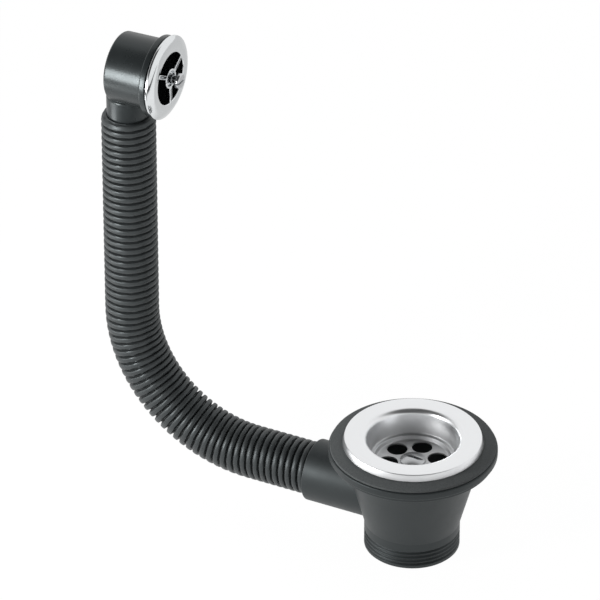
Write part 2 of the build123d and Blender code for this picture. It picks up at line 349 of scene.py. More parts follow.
grain, entry, leave = new_group("moulded grain", {"Fine": 1500.0, "Broad": 60.0}, ["Height", "Tone"])
place = put(grain, "ShaderNodeTexCoord")
fine = put(grain, "ShaderNodeTexNoise", {"Detail": 3.0, "Roughness": 0.55})
broad = put(grain, "ShaderNodeTexNoise", {"Detail": 4.0, "Roughness": 0.6})
wire(
    grain,
    (place, "Object", fine, "Vector"),
    (place, "Object", broad, "Vector"),
    (entry, "Fine", fine, "Scale"),
    (entry, "Broad", broad, "Scale"),
    (fine, 0, leave, "Height"),
    (broad, 0, leave, "Tone"),
)
print("group", grain.name)

# %% [markdown]
# ## Worked streaks
#
# A pressed and polished sheet carries faint rings round its axis. An image could hold them, but it would
# need unwrapping. Here the position is rolled out instead: the angle becomes one axis, along which the
# noise changes slowly, and the radius and the height become the other two, packed tight.

# %% Worked streaks
streaks, entry, leave = new_group("worked streaks", {"Rings": 900.0, "Drift": 3.0}, ["Height", "Tone"])
place = put(streaks, "ShaderNodeTexCoord")
parts = put(streaks, "ShaderNodeSeparateXYZ")
angle = put(streaks, "ShaderNodeMath", operation="ARCTAN2")
slow = put(streaks, "ShaderNodeMath", operation="MULTIPLY")
flat = put(streaks, "ShaderNodeCombineXYZ")
radius = put(streaks, "ShaderNodeVectorMath", operation="LENGTH")
across = put(streaks, "ShaderNodeMath", operation="MULTIPLY")
along = put(streaks, "ShaderNodeMath", operation="MULTIPLY")
rolled = put(streaks, "ShaderNodeCombineXYZ")
noise = put(streaks, "ShaderNodeTexNoise", {"Scale": 1.0, "Detail": 3.0, "Roughness": 0.6})
cloud = put(streaks, "ShaderNodeTexNoise", {"Scale": 90.0, "Detail": 3.0})
wire(
    streaks,
    (place, "Object", parts, 0),
    (parts, "Y", angle, 0),
    (parts, "X", angle, 1),
    (angle, 0, slow, 0),
    (entry, "Drift", slow, 1),
    (parts, "X", flat, "X"),
    (parts, "Y", flat, "Y"),
    (flat, 0, radius, 0),
    (radius, "Value", across, 0),
    (entry, "Rings", across, 1),
    (parts, "Z", along, 0),
    (entry, "Rings", along, 1),
    (slow, 0, rolled, "X"),
    (across, 0, rolled, "Y"),
    (along, 0, rolled, "Z"),
    (rolled, 0, noise, "Vector"),
    (place, "Object", cloud, "Vector"),
    (noise, 0, leave, "Height"),
    (cloud, 0, leave, "Tone"),
)
print("group", streaks.name)

# %% [markdown]
# ## A finish from a group
#
# A real surface is never one colour and one gloss. Painted images could show that, but they would have to
# be unwrapped onto every piece. Instead one function builds every finish from a group: the group's tone
# moves the colour and the roughness between two values, and its height goes through a bump. What is the
# same all over a surface, such as how metallic it is, is set on the shader's own socket.

# %% Finish from a group
TONE_LOW = 0.3
TONE_HIGH = 0.7


def finish(name, group, group_values, colours, roughness, bump, shader_values):
    """A material whose colour, roughness and bump (strength, millimetres) follow a group."""
    material = bpy.data.materials.new(name)
    material.use_nodes = True
    tree = material.node_tree
    shader = tree.nodes["Principled BSDF"]
    for key, value in shader_values.items():
        shader.inputs[key].default_value = value
    effect = put(tree, "ShaderNodeGroup", node_tree=group)
    for key, value in group_values.items():
        effect.inputs[key].default_value = value
    tint = put(tree, "ShaderNodeMix", {6: (*colours[0], 1), 7: (*colours[1], 1)}, data_type="RGBA")
    spread = put(tree, "ShaderNodeMapRange", {
        "From Min": TONE_LOW, "From Max": TONE_HIGH, "To Min": roughness[0], "To Max": roughness[1],
    })
    relief = put(tree, "ShaderNodeBump", {"Strength": bump[0], "Distance": bump[1] * MM})
    wire(
        tree,
        (effect, "Tone", tint, 0),
        (tint, 2, shader, "Base Color"),
        (effect, "Tone", spread, 0),
        (spread, 0, shader, "Roughness"),
        (effect, "Height", relief, "Height"),
        (relief, 0, shader, "Normal"),
    )
    return material


print("tones from", TONE_LOW, "to", TONE_HIGH, "spread over each roughness")

# %% [markdown]
# ## Plastics and rubbers
#
# The mouldings are charcoal with a cool sheen. The head is glossy, the body duller and the hose between the
# two, as its softer plastic comes out of the corrugator. The thick gasket is a speckled rubber: its tone
# changes within a millimetre, and its bump is strong. The seals are plain black rubber.

# %% Plastics and rubbers
PLASTIC = {"IOR": 1.5, "Specular Tint": (0.89, 0.98, 1.0, 1)}

charcoal = finish(
    "charcoal moulding", grain, {"Fine": 1400.0, "Broad": 70.0},
    colours=[(0.012, 0.0145, 0.015), (0.019, 0.022, 0.023)],
    roughness=(0.24, 0.32), bump=(0.025, 0.05), shader_values=PLASTIC,
)
dull_charcoal = finish(
    "dull charcoal moulding", grain, {"Fine": 1400.0, "Broad": 70.0},
    colours=[(0.015, 0.0175, 0.018), (0.023, 0.026, 0.027)],
    roughness=(0.45, 0.53), bump=(0.02, 0.05), shader_values=PLASTIC,
)
hose_plastic = finish(
    "hose plastic", grain, {"Fine": 1800.0, "Broad": 120.0},
    colours=[(0.024, 0.027, 0.028), (0.036, 0.039, 0.040)],
    roughness=(0.36, 0.46), bump=(0.05, 0.04), shader_values=PLASTIC,
)
foam = finish(
    "speckled gasket rubber", grain, {"Fine": 900.0, "Broad": 1500.0},
    colours=[(0.040, 0.045, 0.046), (0.135, 0.144, 0.146)],
    roughness=(0.75, 0.95), bump=(0.7, 0.25), shader_values={"Specular IOR Level": 0.3},
)
seal_rubber = finish(
    "seal rubber", grain, {"Fine": 1200.0, "Broad": 300.0},
    colours=[(0.014, 0.014, 0.015), (0.022, 0.022, 0.023)],
    roughness=(0.55, 0.75), bump=(0.2, 0.1), shader_values={},
)
print("plastics and rubbers", [m.name for m in (charcoal, dull_charcoal, hose_plastic, foam, seal_rubber)])

# %% [markdown]
# ## Metals
#
# A metal shows what it mirrors, tinted by its own reflectance. So each is a metallic shader whose base
# colour is that reflectance, and a painted grey would stay grey whatever stands around it. The strainer is
# bright steel with faint rings, the two screws are darker, the rosette is chrome with a slightly wavy
# plate, and the hidden bushes are turned brass.

# %% Metals
METAL = {"Metallic": 1.0}

steel = finish(
    "pressed steel", streaks, {"Rings": 2600.0, "Drift": 2.0},
    colours=[(0.80, 0.81, 0.82), (0.86, 0.87, 0.88)],
    roughness=(0.28, 0.36), bump=(0.10, 0.03), shader_values=METAL,
)
screw_steel = finish(
    "screw steel", grain, {"Fine": 1200.0, "Broad": 260.0},
    colours=[(0.42, 0.43, 0.44), (0.54, 0.55, 0.56)],
    roughness=(0.24, 0.36), bump=(0.10, 0.03), shader_values=METAL,
)
chrome = finish(
    "chrome plate", grain, {"Fine": 160.0, "Broad": 200.0},
    colours=[(0.70, 0.72, 0.73), (0.78, 0.80, 0.81)],
    roughness=(0.07, 0.13), bump=(0.15, 0.15), shader_values=METAL,
)
bright_steel = finish(
    "bright screw steel", grain, {"Fine": 900.0, "Broad": 260.0},
    colours=[(0.50, 0.51, 0.52), (0.62, 0.63, 0.64)],
    roughness=(0.14, 0.24), bump=(0.10, 0.05), shader_values=METAL,
)
brass = finish(
    "turned brass", grain, {"Fine": 1500.0, "Broad": 200.0},
    colours=[(0.60, 0.42, 0.16), (0.72, 0.54, 0.26)],
    roughness=(0.25, 0.38), bump=(0.2, 0.04), shader_values=METAL,
)
print("metals", [m.name for m in (steel, screw_steel, chrome, bright_steel, brass)])

# %% [markdown]
# ## Duller steel and painted shade in the well
#
# The strainer's flange is polished, and its well stays as the press left it, duller. The well's colour is
# also multiplied down, darker towards the bottom: that is painted shade, standing in for the shade inside
# the well.
# A second material would show a seam where the two meet. The sheet's own height can steer the change
# instead:
# zero is the flange's underside, and from about there down the colour is multiplied down and the roughness
# goes up.

# %% Duller steel and painted shade in the well
# Painted shade: the well's colour is multiplied down with depth, darker towards the bottom.
WELL_SHADE_DEPTH = (-8 * MM, 1 * MM)
WELL_SHADE_COLOUR = 0.75
BRUSH_DEPTH = (-4 * MM, -0.5 * MM)
BRUSH_ROUGHNESS = 0.2

tree = steel.node_tree
shader = tree.nodes["Principled BSDF"]
tint = shader.inputs["Base Color"].links[0].from_node
spread = shader.inputs["Roughness"].links[0].from_node
place = put(tree, "ShaderNodeTexCoord")
parts = put(tree, "ShaderNodeSeparateXYZ")
# Painted shade in the well: a colour factor from the sheet's height.
painted_well_shade = put(tree, "ShaderNodeMapRange", {
    "From Min": WELL_SHADE_DEPTH[0], "From Max": WELL_SHADE_DEPTH[1], "To Min": WELL_SHADE_COLOUR, "To Max": 1.0,
})
brushing = put(tree, "ShaderNodeMapRange", {
    "From Min": BRUSH_DEPTH[0], "From Max": BRUSH_DEPTH[1], "To Min": BRUSH_ROUGHNESS, "To Max": 0.0,
})
well_shaded_tint = put(tree, "ShaderNodeMix", {0: 1.0}, data_type="RGBA", blend_type="MULTIPLY")
brushed = put(tree, "ShaderNodeMath", operation="ADD")
wire(
    tree,
    (place, "Object", parts, 0),
    (parts, "Z", painted_well_shade, 0),
    (tint, 2, well_shaded_tint, 6),
    (painted_well_shade, 0, well_shaded_tint, 7),
    (well_shaded_tint, 2, shader, "Base Color"),
    (parts, "Z", brushing, 0),
    (spread, 0, brushed, 0),
    (brushing, 0, brushed, 1),
    (brushed, 0, shader, "Roughness"),
)
print("steel dims by depth to", WELL_SHADE_COLOUR)

# %% [markdown]
# ## Rounded outlines
#
# Almost every piece here was turned, pressed or moulded round an axis, so it is an outline spun about that
# axis. Real edges are never razor sharp, and their small rounds catch the lines of light that make a render
# look solid. A bevel modifier could round a finished mesh, but every width would have to be marked on its
# edges. Here each corner of an outline carries its own radius, which becomes an arc.

# %% Rounded outlines
ARC_STEP = math.radians(12)


def rounded(corners):
    """Outline points. A corner is (x, y) or (x, y, radius), and a radius becomes an arc."""
    points = []
    for i, corner in enumerate(corners):
        here = Vector(corner[:2])
        if len(corner) == 2:
            points.append(here)
            continue
        before = (Vector(corners[i - 1][:2]) - here).normalized()
        after = (Vector(corners[(i + 1) % len(corners)][:2]) - here).normalized()
        half = before.angle(after) / 2
        centre = here + (before + after).normalized() * corner[2] / math.sin(half)
        reach = corner[2] / math.tan(half)
        start = here + before * reach - centre
        end = here + after * reach - centre
        turn = math.atan2(start.x * end.y - start.y * end.x, start.dot(end))
        steps = max(2, math.ceil(abs(turn) / ARC_STEP))
        points += [centre + Matrix.Rotation(turn * k / steps, 2) @ start for k in range(steps + 1)]
    return points


print("arc points of a square's corner", len(rounded([(0, 0), (1, 0, 0.2), (1, 1), (0, 1)])) - 3)

# %% [markdown]
# ## Spinning an outline
#
# A spin turns an outline about Z, as a lathe does, and a matrix then lays the piece along its own axis. The
# screw modifier does the same on an object, but a bmesh spin gives the mesh at once, ready for cutting.

# %% Spinning an outline
UPRIGHT = Matrix.Identity(4)
WELD = 0.001 * MM
SIDES = 160
MEDIUM_SIDES = 128
SMALL_SIDES = 64


def spin(name, outline, place=UPRIGHT, steps=SIDES):
    """Object made by turning an outline of (radius, height) points, in millimetres, about Z."""
    builder = bmesh.new()
    ring = [builder.verts.new((point[0] * MM, 0, point[1] * MM)) for point in outline]
    for i, vert in enumerate(ring):
        ahead = ring[(i + 1) % len(ring)]
        if vert.co.x > 0 or ahead.co.x > 0:
            builder.edges.new((vert, ahead))
    bmesh.ops.spin(
        builder, geom=ring + builder.edges[:], cent=(0, 0, 0), axis=(0, 0, 1),
        angle=math.tau, steps=steps, use_merge=True,
    )
    bmesh.ops.remove_doubles(builder, verts=builder.verts[:], dist=WELD)
    bmesh.ops.recalc_face_normals(builder, faces=builder.faces[:])
    builder.transform(place)
    return object_from(name, builder)


print("a large piece has", SIDES, "sides and a small one", SMALL_SIDES)

# %% [markdown]
# ## Cutting and joining
#
# Branches, holes and slots are cut or joined with exact booleans. A round tool on the axis of what it cuts
# gets a number of sides that shares no factor with the other's. Otherwise corners of the one fall almost
# on edges of the other, and such near misses leave slivers and stray faces. Pieces that only sink into
# each other need no boolean and are merged as they are.

# %% Cutting and joining
PAST = 1.0
TOOL_SIDES = 97
WIDE_TOOL_SIDES = 131


def carve(target, tool, how):
    """Join or cut an object with a tool, exactly, and drop the tool."""
    change = target.modifiers.new("carve", "BOOLEAN")
    change.operation = how
    change.solver = "EXACT"
    change.object = tool
    graph = bpy.context.evaluated_depsgraph_get()
    shaped = bpy.data.meshes.new_from_object(target.evaluated_get(graph))
    target.modifiers.remove(change)
    target.data = shaped
    bpy.data.objects.remove(tool)


def rod(name, radius, start, end, place=UPRIGHT, steps=TOOL_SIDES):
    """Plain round bar between two heights, for cutting."""
    return spin(name, [(0, start), (radius, start), (radius, end), (0, end)], place, steps)


def brick(name, low, high, soft=0):
    """Box between two corners in millimetres, with its edges rounded by soft."""
    builder = bmesh.new()
    bmesh.ops.create_cube(builder, size=1)
    middle = (Vector(low) + Vector(high)) / 2 * MM
    size = (Vector(high) - Vector(low)) * MM
    builder.transform(Matrix.Translation(middle) @ Matrix.Diagonal((*size, 1)))
    if soft:
        bmesh.ops.bevel(
            builder, geom=builder.edges[:], offset=soft * MM, segments=3, profile=0.5, affect="EDGES",
        )
    return object_from(name, builder)


def merge(target, others):
    """Put other objects' meshes into one object."""
    builder = bmesh.new()
    for piece in [target, *others]:
        builder.from_mesh(piece.data)
    builder.to_mesh(target.data)
    builder.free()
    for piece in others:
        bpy.data.objects.remove(piece)


print("tools have", TOOL_SIDES, "or", WIDE_TOOL_SIDES, "sides")

# %% [markdown]
# ## Dressing a finished piece
#
# A finished piece is shaded smooth, with its true creases kept sharp by their angle, gets its finish, and
# then stands for its CAD node: it rides on the same body, and the solid is hidden.

# %% Dressing a finished piece
CREASE = math.radians(32)


def dress(piece, node, material):
    """Shade a piece, give it its finish, and let it stand for its CAD node."""
    piece.data.materials.clear()
    piece.data.materials.append(material)
    piece.data.shade_smooth()
    piece.data.set_sharp_from_angle(angle=CREASE)
    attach(piece, "root")
    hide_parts(node)
    triangles = sum(len(face.vertices) - 2 for face in piece.data.polygons)
    print(piece.name, "stands for", node, "triangles", triangles)


print("edges above", round(math.degrees(CREASE)), "degrees stay sharp")

# %% [markdown]
# ## Steel strainer
#
# The strainer is one pressed sheet: a broad flange with a sloping rim, a well, a narrow ledge and a floor
# with six holes. A surface with a solidify modifier would give one thickness everywhere, but with square
# edges. So the outline runs along the top of the sheet and back along its underside, one sheet thickness
# away, with a bend radius at each fold.

# %% Steel strainer
STRAINER_SIDES = 192
SHEET = 0.8
MOUTH_R = 23.4
MOUTH_ROUND = 3.0
WELL_R = 21.0
FLOOR_R = 18.5
FLOOR_STEP = 2.0
LEDGE_RUN = 0.7
RIM_SLOPE = 1.0
SCREW_HOLE_R = 3.05

flange_r = sheet_high.x
rim_h = sheet_high.z
floor_z = sheet_low.z + SHEET
ledge_z = floor_z + FLOOR_STEP
strainer = spin("steel_strainer", rounded([
    (SCREW_HOLE_R, floor_z),
    (FLOOR_R, floor_z, 0.6),
    (FLOOR_R + LEDGE_RUN, ledge_z, 0.5),
    (WELL_R, ledge_z, 0.8),
    (MOUTH_R, rim_h, MOUTH_ROUND),
    (flange_r - RIM_SLOPE, rim_h, 0.5),
    (flange_r, 0, 0.2),
    (flange_r - SHEET, 0, 0.2),
    (flange_r - RIM_SLOPE - SHEET, rim_h - SHEET, 0.3),
    (MOUTH_R + SHEET, rim_h - SHEET, MOUTH_ROUND + SHEET),
    (WELL_R + SHEET, ledge_z - SHEET, 1.2),
    (FLOOR_R + LEDGE_RUN + SHEET, ledge_z - SHEET, 0.3),
    (FLOOR_R + SHEET, floor_z - SHEET, 0.6),
    (SCREW_HOLE_R, floor_z - SHEET),
]), steps=STRAINER_SIDES)
print("sheet of", SHEET, "mm, flange", round(2 * flange_r, 1), "mm across")

# %% [markdown]
# ## Drain holes
#
# Six round holes in the floor let the water through. A texture with holes in it would show no thickness at
# their edges. They are punched straight down, so each is a rod that reaches past the sheet on both sides
# and is cut away.

# %% Drain holes
DRAIN_R = 5.1
DRAIN_CIRCLE_R = 12.45
DRAIN_TURN = 34
DRAINS = 6

for hole in range(DRAINS):
    turn = math.radians(DRAIN_TURN + hole * 360 / DRAINS)
    centre = Vector((math.cos(turn), math.sin(turn), 0)) * DRAIN_CIRCLE_R * MM
    place = Matrix.Translation(centre)
    drill = rod("drain", DRAIN_R, floor_z - SHEET - PAST, floor_z + PAST, place, SMALL_SIDES)
    carve(strainer, drill, "DIFFERENCE")
dress(strainer, "waste_strainer", steel)

# %% [markdown]
# ## Strainer screw
#
# A wide, low dome with a straight slot pulls the strainer down. Its shank goes into a brass bush in the
# body. A flattened half ball would be too steep at its edge, so the dome is a slice of a large ball, whose
# radius follows from how wide and how high the slice is.

# %% Strainer screw
SCREW_SIDES = 96
SHANK_R = 3.0
HEAD_R = 6.3
HEAD_EDGE = 0.7
HEAD_H = 2.2
EDGE_BREAK = 0.2
DOME_STEPS = 12
SLOT_W = 2.0
SLOT_H = 1.1

dome_rise = HEAD_H - HEAD_EDGE
dome_r = (HEAD_R ** 2 + dome_rise ** 2) / (2 * dome_rise)
head_top = floor_z + HEAD_H
dome = []
for step in range(DOME_STEPS + 1):
    reach = HEAD_R * (1 - step / DOME_STEPS)
    dome.append((reach, head_top - dome_r + math.sqrt(dome_r ** 2 - reach ** 2)))
shank_end = span("strainer_screw")[0].z
screw = spin("strainer_screw_head", [
    (0, shank_end), (SHANK_R, shank_end), (SHANK_R, floor_z),
    (HEAD_R - EDGE_BREAK, floor_z), (HEAD_R, floor_z + EDGE_BREAK), *dome,
], steps=SCREW_SIDES)
slot = brick(
    "slot",
    (-HEAD_R - PAST, -SLOT_W / 2, head_top - SLOT_H),
    (HEAD_R + PAST, SLOT_W / 2, head_top + PAST),
)
carve(screw, slot, "DIFFERENCE")
dress(screw, "strainer_screw", screw_steel)

# %% [markdown]
# ## Thick gasket
#
# A ring of dark, speckled rubber seals the basin from below. Its top falls away toward the outer edge, so
# the edge is thin and soft where it meets the basin. It stops just short of the body's rim, and the gap
# shows as a black line, which a painted line would only copy from one side.

# %% Thick gasket
GASKET_BORE_R = 29.9
GASKET_SHOULDER = 5.0
GASKET_FALL = 1.2
GASKET_GAP = 0.8

gasket_r = gasket_high.x - GASKET_GAP
gasket = spin("thick_gasket", rounded([
    (GASKET_BORE_R, 0),
    (gasket_r - GASKET_SHOULDER, 0, 2.0),
    (gasket_r, -GASKET_FALL, 0.5),
    (gasket_r, gasket_low.z, 0.4),
    (GASKET_BORE_R, gasket_low.z),
]))
dress(gasket, "waste_gasket", foam)

# %% [markdown]
# ## Outside of the waste body
#
# The body is one moulding: a stepped flange, a tapered bowl, an outlet and a branch that holds the hose. A
# mould has an outside and a core, and the model is made in the same way: first the full outside, spun and
# joined with the branch, and then the core is cut out of both, so that the inside runs through.

# %% Outside of the waste body
FLANGE_T = 3.8
STEP_R = 40.6
STEP_T = 2.2
BOWL_R = 33.7
RIM_FILLET = 4.5
THREAD_TOP = -45.4
THREAD_ROOT_R = 22.5
COLLAR_R = 23.9
SOCKET_R = 15.79

body_r = body_high.y
body_top = body_high.z
flange_under = body_top - FLANGE_T - STEP_T
socket_end = body_low.x
WEST = Matrix.Translation((0, 0, branch_z * MM)) @ Matrix.Rotation(-math.pi / 2, 4, "Y")

body = spin("waste_body_moulding", rounded([
    (0, body_top),
    (body_r, body_top, 0.7),
    (body_r, body_top - FLANGE_T, 0.7),
    (STEP_R, body_top - FLANGE_T, 0.2),
    (STEP_R, flange_under, 0.6),
    (BOWL_R, flange_under, RIM_FILLET),
    (COLLAR_R, THREAD_TOP),
    (THREAD_ROOT_R, THREAD_TOP),
    (THREAD_ROOT_R, body_low.z, 0.5),
    (0, body_low.z),
]))
branch = spin("branch", rounded([
    (0, 0), (SOCKET_R, 0), (SOCKET_R, -socket_end, 0.8), (0, -socket_end),
]), WEST, MEDIUM_SIDES)
carve(body, branch, "UNION")
print("body outside vertices", len(body.data.vertices))

# %% [markdown]
# ## Inside of the waste body
#
# Three cuts make the inside: the bowl with its outlet, the bore of the branch, and the wider socket at the
# branch's end that the hose is pushed into. A solidify modifier would only follow the outside, and the
# socket's step isn't there.

# %% Inside of the waste body
WALL = 2.6
OUTLET_R = 20.2
BRANCH_BORE_R = 11.3
BRANCH_BORE_START = 6.0
SOCKET_BORE_R = 13.79
SOCKET_DEPTH = 14.2
SOCKET_SIDES = 101

carve(body, spin("hollow", [
    (0, body_top + PAST),
    (BOWL_R - WALL, body_top + PAST),
    (BOWL_R - WALL, flange_under),
    (OUTLET_R, THREAD_TOP),
    (OUTLET_R, body_low.z - PAST),
    (0, body_low.z - PAST),
], steps=WIDE_TOOL_SIDES), "DIFFERENCE")
past_end = -socket_end + PAST
carve(body, rod("bore", BRANCH_BORE_R, BRANCH_BORE_START, past_end, WEST), "DIFFERENCE")
socket_floor = -socket_end - SOCKET_DEPTH
carve(body, rod("socket", SOCKET_BORE_R, socket_floor, past_end, WEST, SOCKET_SIDES), "DIFFERENCE")
print("body vertices", len(body.data.vertices))

# %% [markdown]
# ## Pipe thread
#
# The outlet carries a pipe thread with rounded ridges, which a trap's nut screws onto. A profile swept
# along a helix could make it, but its ends would break off short. A function of the height and the turn
# says how far out the surface lies instead, and its groove fades out toward a plain collar above and a
# short lead below.

# %% Pipe thread
THREAD_PITCH = 2.309
THREAD_DEPTH = 0.9
THREAD_LEAD = 1.9
THREAD_PLAIN = 4.2
THREAD_FADE = 0.8
THREAD_BEVEL = 0.7
THREAD_PHASE = 0.159

sleeve_h = THREAD_TOP - body_low.z


def thread_radius(height, turn):
    """Radius of the thread's surface at a height above its lower end and a turn from 0 to 1."""
    phase = height / THREAD_PITCH - turn + THREAD_PHASE
    dip = 0.5 - 0.5 * math.cos(math.tau * phase)
    room = min(height - THREAD_LEAD, sleeve_h - height - THREAD_PLAIN)
    fade = min(1, max(0, room / THREAD_FADE))
    bevel = max(0, THREAD_BEVEL - height)
    return COLLAR_R - bevel - THREAD_DEPTH * fade * dip


print("thread of", THREAD_PITCH, "mm pitch over", round(sleeve_h - THREAD_LEAD - THREAD_PLAIN, 1), "mm")

# %% [markdown]
# ## Thread sleeve
#
# The thread's mesh is a skin over rings of points, one above the other. Two more rings inside the outlet's
# wall close it to a shell of its own, so it can be merged with the body as it is, without a boolean.

# %% Thread sleeve
THREAD_ROWS = 48
THREAD_SIDES = 168
SLEEVE_BORE_R = 21.5


def thread_ring(height, radius_at):
    """Points round the outlet at a height above its lower end, with a radius for each turn."""
    ring = []
    for side in range(THREAD_SIDES):
        turn = side / THREAD_SIDES
        angle = math.tau * turn
        radius = radius_at(height, turn)
        ring.append(Vector((radius * math.cos(angle), radius * math.sin(angle), body_low.z + height)))
    return ring


def sleeve_bore(height, turn):
    """Radius of the sleeve's inside, which lies within the outlet's wall."""
    return SLEEVE_BORE_R


def skin(name, rings):
    """Closed object over a loop of rings of points, in millimetres, each joined to the next."""
    builder = bmesh.new()
    loops = [[builder.verts.new(point * MM) for point in ring] for ring in rings]
    for lower, upper in zip(loops, loops[1:] + loops[:1]):
        for side in range(len(lower)):
            ahead = (side + 1) % len(lower)
            builder.faces.new((lower[side], lower[ahead], upper[ahead], upper[side]))
    bmesh.ops.recalc_face_normals(builder, faces=builder.faces[:])
    return object_from(name, builder)


rows = round(sleeve_h / THREAD_PITCH * THREAD_ROWS)
thread = skin("thread", [
    thread_ring(0, sleeve_bore),
    *[thread_ring(sleeve_h * row / rows, thread_radius) for row in range(rows + 1)],
    thread_ring(sleeve_h, sleeve_bore),
])
print("thread sleeve", round(sleeve_h, 1), "mm high in", rows, "rows")

# %% [markdown]
# ## Boss and ribs
#
# Inside the bowl, three ribs carry a boss with the brass bush for the strainer's screw. At best they show
# through the drain holes, so a plain spun ring and three plain boxes do.

# %% Boss and ribs
BOSS_R = 7.2
BOSS_TOP = -19.6
BOSS_H = 18.0
BUSH_R = 5.0
BUSH_H = 12.0
RIB_T = 2.6
RIB_H = 12.0
RIB_START = 6.0
RIB_END = 25.0
RIBS = 3

boss = spin("boss", [
    (BUSH_R, BOSS_TOP), (BOSS_R, BOSS_TOP), (BOSS_R, BOSS_TOP - BOSS_H),
    (SCREW_HOLE_R, BOSS_TOP - BOSS_H), (SCREW_HOLE_R, BOSS_TOP - BUSH_H), (BUSH_R, BOSS_TOP - BUSH_H),
], steps=SMALL_SIDES)
rib_top = BOSS_TOP - (BOSS_H - RIB_H) / 2
ribs = []
for arm in range(RIBS):
    rib = brick("rib", (RIB_START, -RIB_T / 2, rib_top - RIB_H), (RIB_END, RIB_T / 2, rib_top))
    rib.data.transform(Matrix.Rotation(math.tau * arm / RIBS, 4, "Z"))
    ribs.append(rib)
merge(body, [thread, boss, *ribs])
dress(body, "waste_body", dull_charcoal)

# %% [markdown]
# ## Line of the hose
#
# The hose runs level out of the socket, turns upward in a quarter bend and stands up to the head. A curve
# object could carry it, but the wall needs to know how far along the hose each point is, so the line is a
# function of that length: it gives the centre there and the direction to the outside of the bend.

# %% Line of the hose
BEND_R = 68.0

bend_x = overflow_x + BEND_R
level_run = hose_high.x - bend_x
bend_run = BEND_R * math.pi / 2
rise_run = hose_high.z - branch_z - BEND_R
hose_run = level_run + bend_run + rise_run


def hose_station(run):
    """Centre of the hose at a length along it, and the direction to the outside of the bend."""
    if run < level_run:
        return Vector((hose_high.x - run, 0, branch_z)), Vector((0, 0, -1))
    turn = min(run - level_run, bend_run) / BEND_R
    outward = Vector((-math.sin(turn), 0, -math.cos(turn)))
    centre = Vector((bend_x, 0, branch_z + BEND_R)) + outward * BEND_R
    return centre + Vector((0, 0, max(0, run - level_run - bend_run))), outward


print("hose runs", [round(run, 1) for run in (level_run, bend_run, rise_run)], "mm")

# %% [markdown]
# ## Corrugation
#
# The hose is one long helix of wide, rounded crests with narrow grooves between them. Separate rings would
# be simpler and look stiff. The radius of each point comes from its place on the helix, so the grooves open
# on the outside of the bend and close on its inside, as they do on the real hose. The standing part hangs
# from the head and is drawn out a little, so its pitch is a trifle longer, and the cut end under the head
# is rounded over.

# %% Corrugation
LEVEL_PITCH = 3.60
RISE_PITCH = 3.74
GROOVE = 1.9
GROOVE_FLAT = 0.05
GROOVE_WALL = 0.15
CROWN_FALL = 0.22
CROWN_REACH = 0.3
TOP_PHASE = 0.676
END_ROUND = 4.5


def hose_turns(run):
    """Turns of the helix from the socket to a length along the hose."""
    return min(run, level_run) / LEVEL_PITCH + max(0, run - level_run) / RISE_PITCH


def groove_depth(phase):
    """How far the wall lies below the crest, for a phase of 0 at a groove's middle."""
    away = min(phase % 1, 1 - phase % 1)
    slope = min(1, max(0, (away - GROOVE_FLAT) / GROOVE_WALL))
    dip = 1 - slope * slope * (3 - 2 * slope)
    crown = CROWN_FALL * ((0.5 - away) / CROWN_REACH) ** 2
    return min(GROOVE, max(crown, GROOVE * dip))


def hose_outside(run, turn):
    """Radius of the hose's outside at a length along it and a turn from 0 to 1."""
    phase = hose_turns(run) - hose_turns(hose_run) + turn - TOP_PHASE
    inset = max(0, 1 - (hose_run - run) / END_ROUND)
    shoulder = GROOVE * (1 - math.sqrt(1 - inset ** 2))
    return hose_r - max(shoulder, groove_depth(phase))


print("hose has", round(hose_turns(hose_run), 1), "turns")

# %% [markdown]
# ## Corrugated hose
#
# The wall is a skin over rings of points that lie across the hose's line: up along the corrugated outside
# and back down along the plain bore. Eleven rings to a turn keep the grooves round.

# %% Corrugated hose
BORE_R = 10.99
ROWS_PER_TURN = 11
BORE_ROWS = 60
HOSE_SIDES = 88


def hose_ring(run, radius_at):
    """Points across the hose at a length along it, with a radius for each turn."""
    centre, outward = hose_station(run)
    ring = []
    for side in range(HOSE_SIDES):
        turn = side / HOSE_SIDES
        angle = math.tau * turn
        way = outward * math.cos(angle) + Vector((0, 1, 0)) * math.sin(angle)
        ring.append(centre + way * radius_at(run, turn))
    return ring


def hose_bore(run, turn):
    """Radius of the hose's bore, which is the same all along."""
    return BORE_R


rows = round(hose_turns(hose_run) * ROWS_PER_TURN)
hose = skin("corrugated_hose", [
    *[hose_ring(hose_run * row / rows, hose_outside) for row in range(rows + 1)],
    *[hose_ring(hose_run * (1 - row / BORE_ROWS), hose_bore) for row in range(BORE_ROWS + 1)],
])
dress(hose, "overflow_hose", hose_plastic)
print("hose length along its middle", round(hose_run, 1), "mm")

# %% [markdown]
# ## Overflow head
#
# A cup lies on its side, with a lip at its mouth and a neck underneath that the hose is pushed over. The
# cup is spun about the overflow's axis, which points along +X, and the neck about the hose's upright axis.
# As with the body, the outside is joined first and the inside is cut out of both.

# %% Overflow head
HEAD_CUP_R = 18.05
HEAD_DRAFT = 0.5
HEAD_WALL = 2.3
BACK_DEPTH = 24.2
LIP_R = 20.5
LIP_T = 3.2
NECK_R = 10.79
NECK_WALL = 2.0
NECK_TOP = 163.85
NECK_SLOPE = 6.0

lip_front = head_high.x
cup_back = lip_front - BACK_DEPTH
EAST = Matrix.Translation((0, 0, overflow_z * MM)) @ Matrix.Rotation(math.pi / 2, 4, "Y")
NECK = Matrix.Translation((overflow_x * MM, 0, 0))

